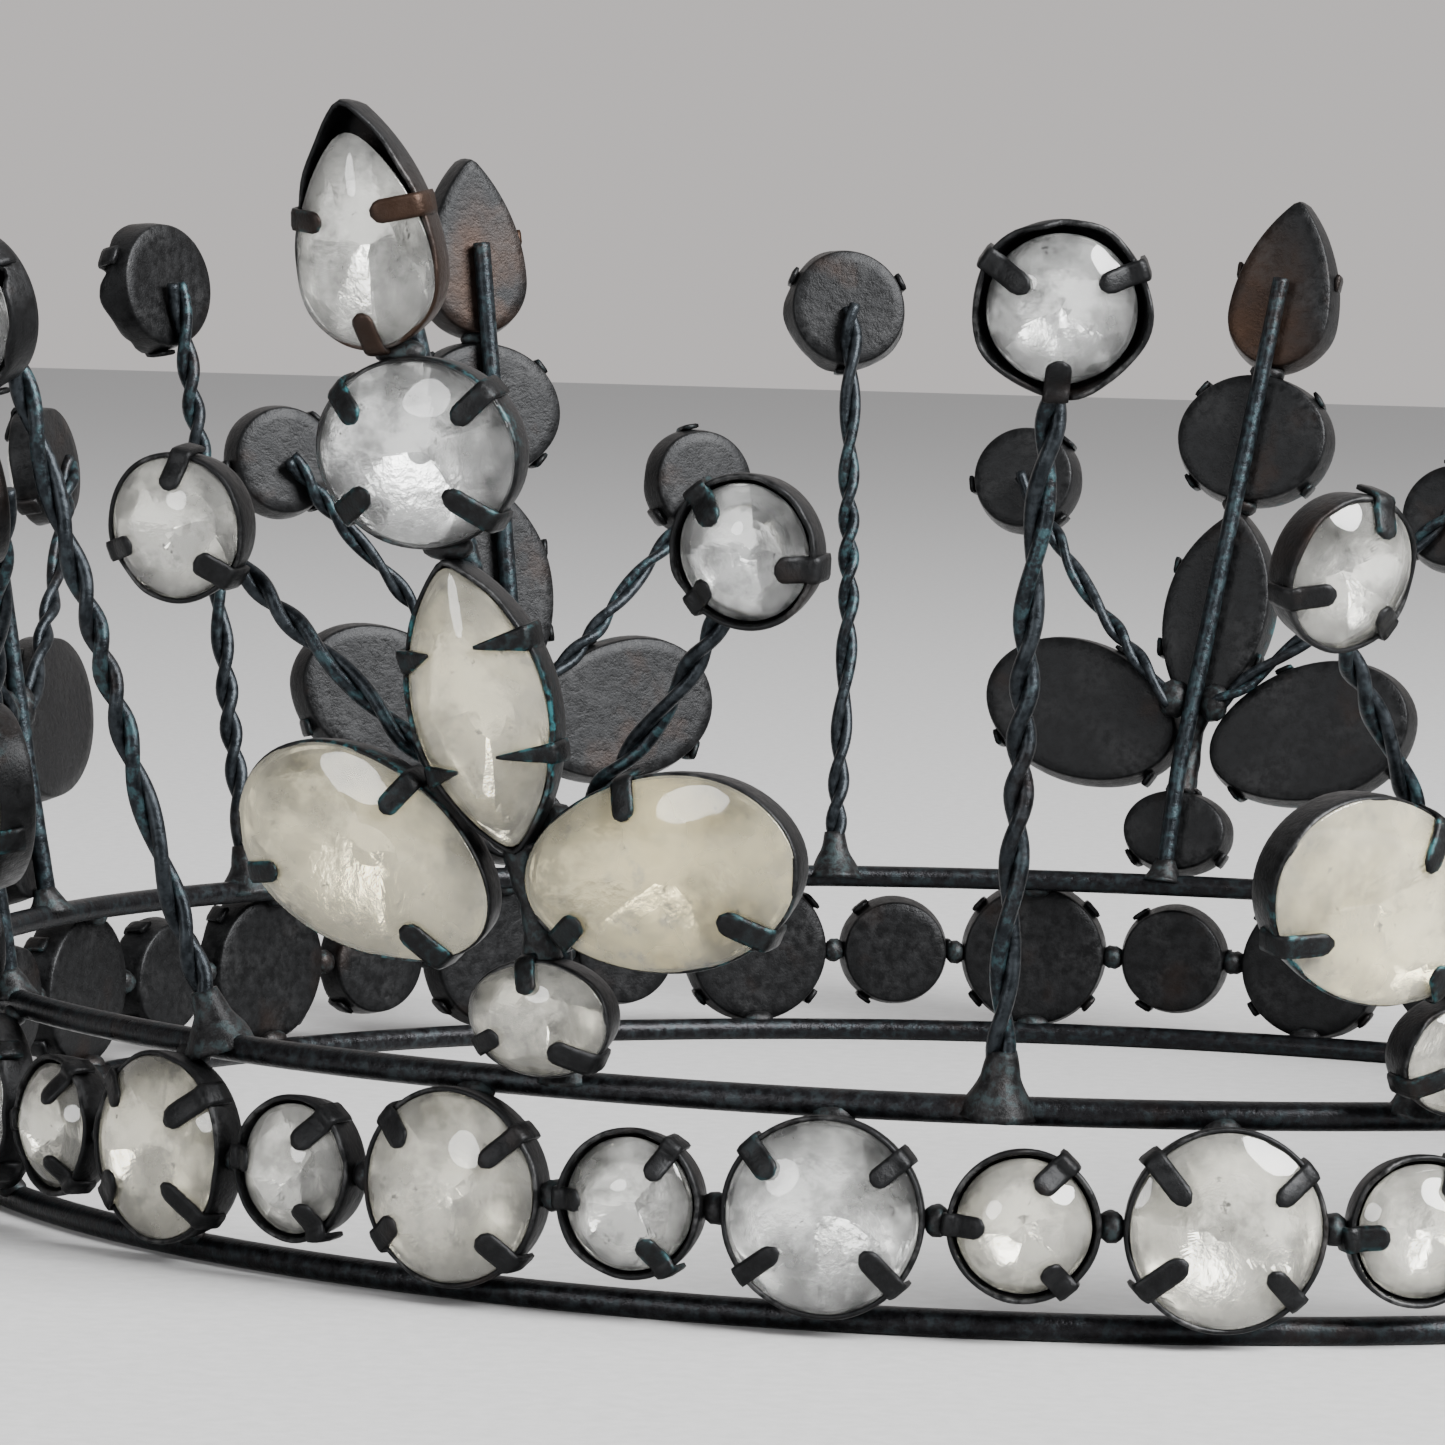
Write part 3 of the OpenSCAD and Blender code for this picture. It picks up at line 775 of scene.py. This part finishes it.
def patina(name, dark, shine, rough, metallic):
    """Blackened metal: dark and a little uneven, with brown rust in patches and where the
    piece's own values mark it, grey where it is worn, and green corrosion along marked edges."""
    material, nodes, links = new_material(name)
    shader = nodes["Principled BSDF"]
    slow = noise(nodes, links, 170, 5)
    grain = noise(nodes, links, 1500, 6, 0.65)
    fine = noise(nodes, links, 6000, 3)
    lighter = tuple(2 * c for c in dark)
    deep = mixed(nodes, links, grey_ramp(nodes, links, grain, 0.38, 0.66), dark, lighter)
    stain = times(nodes, links, grey_ramp(nodes, links, slow, 0.58, 0.76), 0.6)
    colour = mixed(nodes, links, stain, deep, (0.022, 0.012, 0.008))
    rusted = times(nodes, links, attribute(nodes, "rust"), grey_ramp(nodes, links, slow, 0.3, 0.55))
    colour = mixed(nodes, links, rusted, colour, (0.038, 0.018, 0.009))
    worn = times(nodes, links, attribute(nodes, "wear"), grey_ramp(nodes, links, grain, 0.42, 0.66))
    colour = mixed(nodes, links, worn, colour, shine)
    crust = times(
        nodes, links, attribute(nodes, "verdigris"), grey_ramp(nodes, links, grain, 0.5, 0.6)
    )
    colour = mixed(nodes, links, crust, colour, (0.012, 0.11, 0.125))
    links.new(colour, shader.inputs["Base Color"])
    metal = mixed(nodes, links, crust, (metallic,) * 3, (0.0, 0.0, 0.0))
    links.new(metal, shader.inputs["Metallic"])
    gloss = grey_ramp(nodes, links, grain, 0.3, 0.75, rough - 0.1, rough + 0.15)
    links.new(gloss, shader.inputs["Roughness"])
    shader.inputs["Specular IOR Level"].default_value = 0.3
    pits = bumped(nodes, links, fine, 0.00002, 0.5)
    links.new(bumped(nodes, links, grain, 0.00008, 0.7, pits), shader.inputs["Normal"])
    return material


def paste(name):
    """Old moulded glass: clear with a milky haze in clouds, grey smudges here and there, a painted
    shade that greys the glass more towards the girdle, where the edge value is 1, and a cream cast
    by the piece's own tint."""
    material, nodes, links = new_material(name)
    shader = nodes["Principled BSDF"]
    cloud = noise(nodes, links, 190, 3, 0.5)
    smear = noise(nodes, links, 520, 6, 0.62)
    edge = times(nodes, links, attribute(nodes, "wear"), attribute(nodes, "wear"))
    spots = grey_ramp(nodes, links, smear, 0.6, 0.7)
    # shade is painted shade: grey that grows towards the stone's girdle, added to the random
    # smudges below
    shade = times(nodes, links, edge, grey_ramp(nodes, links, smear, 0.46, 0.6))
    smudges_and_girdle_shade = mixed(nodes, links, 0.6, spots, shade, "ADD")
    clear = mixed(nodes, links, smudges_and_girdle_shade, (0.98, 0.99, 0.98), (0.36, 0.37, 0.37))
    age = grey_ramp(nodes, links, cloud, 0.3, 0.7)
    aged = mixed(nodes, links, age, (0.92, 0.86, 0.64), (0.84, 0.75, 0.46))
    aged = mixed(nodes, links, times(nodes, links, smudges_and_girdle_shade, 0.6), aged, (0.42, 0.42, 0.42))
    colour = mixed(nodes, links, attribute(nodes, "tint"), clear, aged)
    links.new(colour, shader.inputs["Base Color"])
    thin = grey_ramp(nodes, links, cloud, 0.42, 0.68, 1.0, 0.9)
    thick = grey_ramp(nodes, links, cloud, 0.36, 0.64, 0.88, 0.6)
    haze = mixed(nodes, links, attribute(nodes, "tint"), thin, thick)
    links.new(haze, shader.inputs["Transmission Weight"])
    shader.inputs["IOR"].default_value = 1.5
    links.new(grey_ramp(nodes, links, smear, 0.35, 0.75, 0.02, 0.09), shader.inputs["Roughness"])
    links.new(bumped(nodes, links, cloud, 0.0002, 0.3), shader.inputs["Normal"])
    return material


def foil(name):
    """The silvered backs of the stones: bright and patchy, with a painted shade that darkens them
    towards the girdle, where the edge value is 1, and dark specks where the foil has gone."""
    material, nodes, links = new_material(name)
    shader = nodes["Principled BSDF"]
    patch = noise(nodes, links, 330, 5, 0.6)
    speck = noise(nodes, links, 1000, 6, 0.65)
    edge = times(nodes, links, attribute(nodes, "wear"), attribute(nodes, "wear"))
    # Painted shade: the foil goes dark grey in patches towards the stone's girdle
    foil_girdle_shade = times(nodes, links, edge, grey_ramp(nodes, links, patch, 0.38, 0.52))
    faded = grey_ramp(nodes, links, patch, 0.5, 0.62)
    silver = mixed(nodes, links, faded, (0.98, 0.98, 0.97), (0.45, 0.45, 0.44))
    silver = mixed(nodes, links, foil_girdle_shade, silver, (0.2, 0.2, 0.2))
    gone = grey_ramp(nodes, links, speck, 0.64, 0.69)
    silver = mixed(nodes, links, gone, silver, (0.09, 0.085, 0.08))
    warm = mixed(nodes, links, attribute(nodes, "tint"), (1.0, 1.0, 1.0), (0.95, 0.9, 0.74))
    links.new(mixed(nodes, links, 1.0, silver, warm, "MULTIPLY"), shader.inputs["Base Color"])
    shader.inputs["Metallic"].default_value = 0.9
    links.new(grey_ramp(nodes, links, patch, 0.3, 0.7, 0.14, 0.3), shader.inputs["Roughness"])
    links.new(bumped(nodes, links, patch, 0.0003, 0.4), shader.inputs["Normal"])
    return material


CUP_METAL = patina("blackened_cup_metal", (0.006, 0.0062, 0.0066), (0.1, 0.1, 0.1), 0.42, 0.7)
RAIL_METAL = patina("blackened_rail_wire", (0.007, 0.007, 0.008), (0.045, 0.045, 0.048), 0.34, 0.75)
STRAND_METAL = patina("dark_twisted_wire", (0.007, 0.009, 0.011), (0.06, 0.068, 0.075), 0.38, 0.75)
SOLDER_METAL = patina("dull_solder", (0.009, 0.009, 0.0095), (0.07, 0.07, 0.07), 0.48, 0.7)
PASTE = paste("milky_paste")
FOIL = foil("tarnished_foil")

# ---- The crown ----

for rail_name, rail_z in (("lower_rail", LOWER_Z), ("upper_rail", UPPER_Z)):
    hoop = Pile()
    add_rail(hoop, rail_z, 11 if rail_name == "lower_rail" else 12)
    hoop.piece(rail_name + "_wire", [RAIL_METAL], [rail_name], "blackened_brass")


def add_settings(name, settings, cup_nodes, stone_nodes):
    """The cups with their claws as one piece, and their stones as another."""
    cups, stones = Pile(), Pile()
    for setting in settings:
        add_cup(cups, setting)
        add_claws(cups, setting)
        add_gem(stones, setting)
    cups.piece(name + "_cups", [CUP_METAL], cup_nodes, "blackened_brass")
    stones.piece(name + "_gems", [PASTE, FOIL], stone_nodes, "paste_stone")


large = all_band_settings(1, LARGE_SIZE, LARGE_CLAWS, 100, LEVEL)
small = all_band_settings(0, SMALL_SIZE, SMALL_CLAWS, 200, LOOSE)
add_settings("band_large", large, ["band_large_settings"], ["band_large_stones"])
add_settings("band_small", small, ["band_small_settings"], ["band_small_stones"])

band_joints = Pile()
neighbour = 2 * (RING_R + CUP_BACK + CUP_H / 2) * math.sin(math.radians(BAND_STEP / 2))
gap = neighbour - (LARGE_SIZE[0] + SMALL_SIZE[0]) / 2
for i in range(2 * BAND_PAIRS):
    toward_small = (-1 if i % 2 == 0 else 1) * (LARGE_SIZE[0] - SMALL_SIZE[0]) / 4
    front = -RING_R - CUP_BACK - CUP_H / 2
    between = turned("z", BAND_START + (i + 0.5) * BAND_STEP)
    between = between @ shifted(toward_small, front, BAND_Z) @ turned("x", 90)
    add_bead(band_joints, between, (0, 0, 0), (gap / 2 + 0.35, 0.85, 0.95), 300 + i)
for i in range(BAND_PAIRS):
    for side in (-1, 1):
        place = on_band(BAND_START + (2 * i + 1) * BAND_STEP)
        spot = (0, side * (RAIL_GAP / 2 - 0.6), 0.35)
        add_bead(band_joints, place, spot, (1.1, 0.65, 0.7), 400 + 2 * i + side)
band_joints.piece("band_solder_joints", [SOLDER_METAL], ["band_solder"], "grey_solder")

motif_joints = Pile()
for i in range(UPRIGHTS):
    label = f"motif_{i + 1}"
    whole = on_motif(i)
    add_settings(label, motif_all_settings(i), [label + "_settings"], [label + "_stones"])
    wires = Pile()
    start_y = FOOT_Y + 0.8
    for side in (-1, 1):
        foot = (side * ((SPINE_D + TWIST_D) / 2 + 0.1) + sway(i, start_y), start_y, 0.0)
        head = (spray_head_x(i, side), SPRAY_Y, 0.0)
        add_twist(wires, whole, foot, head, -side * 0.5, 500 + 2 * i + side, SPRAY_TWIST_D)
    spine = [(0, CUP_BACK - 0.3, 0), (0, BEND_Y, 0), (sway(i, PEAR_Y), PEAR_Y, 0)]
    add_rod(wires, whole, spine, (SPINE_D / 2,) * 3, 520 + i, 0.02)
    wires.piece(label + "_twisted_wires", [STRAND_METAL], [label + "_wires"], "dark_wire")
    add_rod(
        motif_joints,
        whole,
        [(0, 0.2, 0), (0, 0.9, 0), (0, 1.8, 0.1)],
        (1.5, 1.1, 0.7),
        540 + i,
        0.1,
    )
    base_top, column_top = BASE_Y + BASE_SIZE[1] / 2, FOOT_Y + 0.6
    add_rod(
        motif_joints,
        whole,
        [
            (0, base_top - 0.3, CUP_BACK + 1.0),
            (sway(i, column_top) / 2, (base_top + column_top) / 2, CUP_BACK + 1.2),
            (sway(i, column_top), column_top, CUP_BACK + 1.0),
        ],
        (1.05, 0.72, 1.0),
        560 + i,
        0.12,
    )
    for side in (-1, 1):
        crotch = (side * 1.5 + sway(i, start_y), start_y + 0.4, 0.4)
        add_bead(motif_joints, whole, crotch, (1.1, 1.4, 0.9), 580 + 2 * i + side)
    for y in (CREST_Y - CREST_SIZE[1] / 2, CREST_Y + CREST_SIZE[1] / 2):
        spot = (sway(i, y), y, CUP_BACK + 1.0)
        add_bead(motif_joints, whole, spot, (1.3, 0.7, 0.9), 600 + 2 * i)
motif_joints.piece("motif_solder_joints", [SOLDER_METAL], ["motif_solder"], "grey_solder")

spike_gems, spike_joints = Pile(), Pile()
for i in range(UPRIGHTS):
    label = f"spike_{i + 1}"
    whole = on_spike(i)
    ball_at = whole @ shifted(0, SPIKE_Y, CUP_BACK)
    ball = Setting(ball_at, "oval", SPIKE_SIZE, SPIKE_CLAWS, 700 + i, LOOSEST, torn=0.8)
    cup = Pile()
    add_cup(cup, ball)
    add_claws(cup, ball)
    cup.piece(label + "_cup", [CUP_METAL], [label + "_setting"], "blackened_brass")
    add_gem(spike_gems, ball)
    stem = Pile()
    add_twist(stem, whole, (0, CUP_BACK - 0.1, 0), (0, SPIKE_Y, 0), 0.35, 720 + i)
    stem.piece(label + "_twisted_stem", [STRAND_METAL], [label + "_stem"], "dark_wire")
    add_rod(
        spike_joints,
        whole,
        [(0, -0.2, 0), (0, 0.7, 0), (0, 1.7, 0), (0, 3.1, 0)],
        (2.1, 1.6, 1.05, 0.72),
        740 + i,
        0.07,
    )
spike_gems.piece("spike_gems", [PASTE, FOIL], ["spike_stones"], "paste_stone")
spike_joints.piece("spike_solder_joints", [SOLDER_METAL], ["spike_solder"], "grey_solder")

# ---- Floor, lights and camera ----

floor_mesh = bpy.data.meshes.new("floor")
FLOOR_HALF = 4.0
corners = [(FLOOR_HALF * x, FLOOR_HALF * y, 0) for x, y in ((-1, -1), (1, -1), (1, 1), (-1, 1))]
floor_mesh.from_pydata(corners, [], [(0, 1, 2, 3)])
floor = bpy.data.objects.new("floor", floor_mesh)
bpy.context.scene.collection.objects.link(floor)
pale, floor_nodes, floor_links = new_material("pale_floor")
floor_shader = floor_nodes["Principled BSDF"]
weave = noise(floor_nodes, floor_links, 900, 3)
floor_links.new(
    ramp(floor_nodes, floor_links, weave, [(0.3, (0.38, 0.38, 0.38)), (0.7, (0.43, 0.43, 0.43))]),
    floor_shader.inputs["Base Color"],
)
floor_shader.inputs["Roughness"].default_value = 0.85
floor_mesh.materials.append(pale)

world = bpy.data.worlds.new("studio")
world.use_nodes = True
sky_nodes, sky_links = world.node_tree.nodes, world.node_tree.links
heading = sky_nodes.new("ShaderNodeSeparateXYZ")
sky_links.new(sky_nodes.new("ShaderNodeTexCoord").outputs["Generated"], heading.inputs["Vector"])
depth = ramp(
    sky_nodes,
    sky_links,
    heading.outputs["Y"],
    [(0.0, (0.3, 0.3, 0.31)), (0.55, (0.64, 0.61, 0.6))],
)
sky_links.new(depth, sky_nodes["Background"].inputs["Color"])
sky_nodes["Background"].inputs["Strength"].default_value = 1.0
bpy.context.scene.world = world


def soft_light(name, spot, aim, size, power):
    """A round soft light at spot, facing aim."""
    data = bpy.data.lights.new(name, "AREA")
    data.shape, data.size, data.energy = "DISK", size, power
    lamp = bpy.data.objects.new(name, data)
    way = Vector(spot) - Vector(aim)
    lamp.rotation_mode = "QUATERNION"
    lamp.rotation_quaternion = way.to_track_quat("Z", "Y")
    lamp.location = spot
    bpy.context.scene.collection.objects.link(lamp)


# The window stands to the upper right, so the backs of the stones throw it to their lower left
crown_middle = (0, -0.04, 0.03)
soft_light("window", (0.75, -0.5, 0.7), crown_middle, 0.7, 55)
soft_light("left_fill", (-0.7, -0.9, 0.3), crown_middle, 0.4, 6)
sky_light = bpy.data.lights.new("sky", "SUN")
sky_light.energy, sky_light.angle = 1.1, 2.4
sky = bpy.data.objects.new("sky", sky_light)
sky.rotation_euler = (0.3, 0.35, 0)
bpy.context.scene.collection.objects.link(sky)

YAW, PITCH, ROLL = -0.0744, 0.0654, 0.0272
lens_data = bpy.data.cameras.new("camera")
lens_data.sensor_width = 36.0
lens_data.lens = 155.26
lens_data.clip_start = 0.01
camera = bpy.data.objects.new("camera", lens_data)
level_x = np.array([math.cos(YAW), -math.sin(YAW), 0.0])
forward = np.array(
    [math.sin(YAW) * math.cos(PITCH), math.cos(YAW) * math.cos(PITCH), -math.sin(PITCH)]
)
level_up = np.cross(level_x, forward)
camera_x = math.cos(ROLL) * level_x + math.sin(ROLL) * level_up
camera_up = -math.sin(ROLL) * level_x + math.cos(ROLL) * level_up
stand = np.eye(4)
stand[:3, 0], stand[:3, 1], stand[:3, 2] = camera_x, camera_up, -forward
stand[:3, 3] = 0.0087987, -0.3760799, 0.0510694
camera.matrix_world = Matrix(stand.tolist())
bpy.context.scene.collection.objects.link(camera)
bpy.context.scene.camera = camera
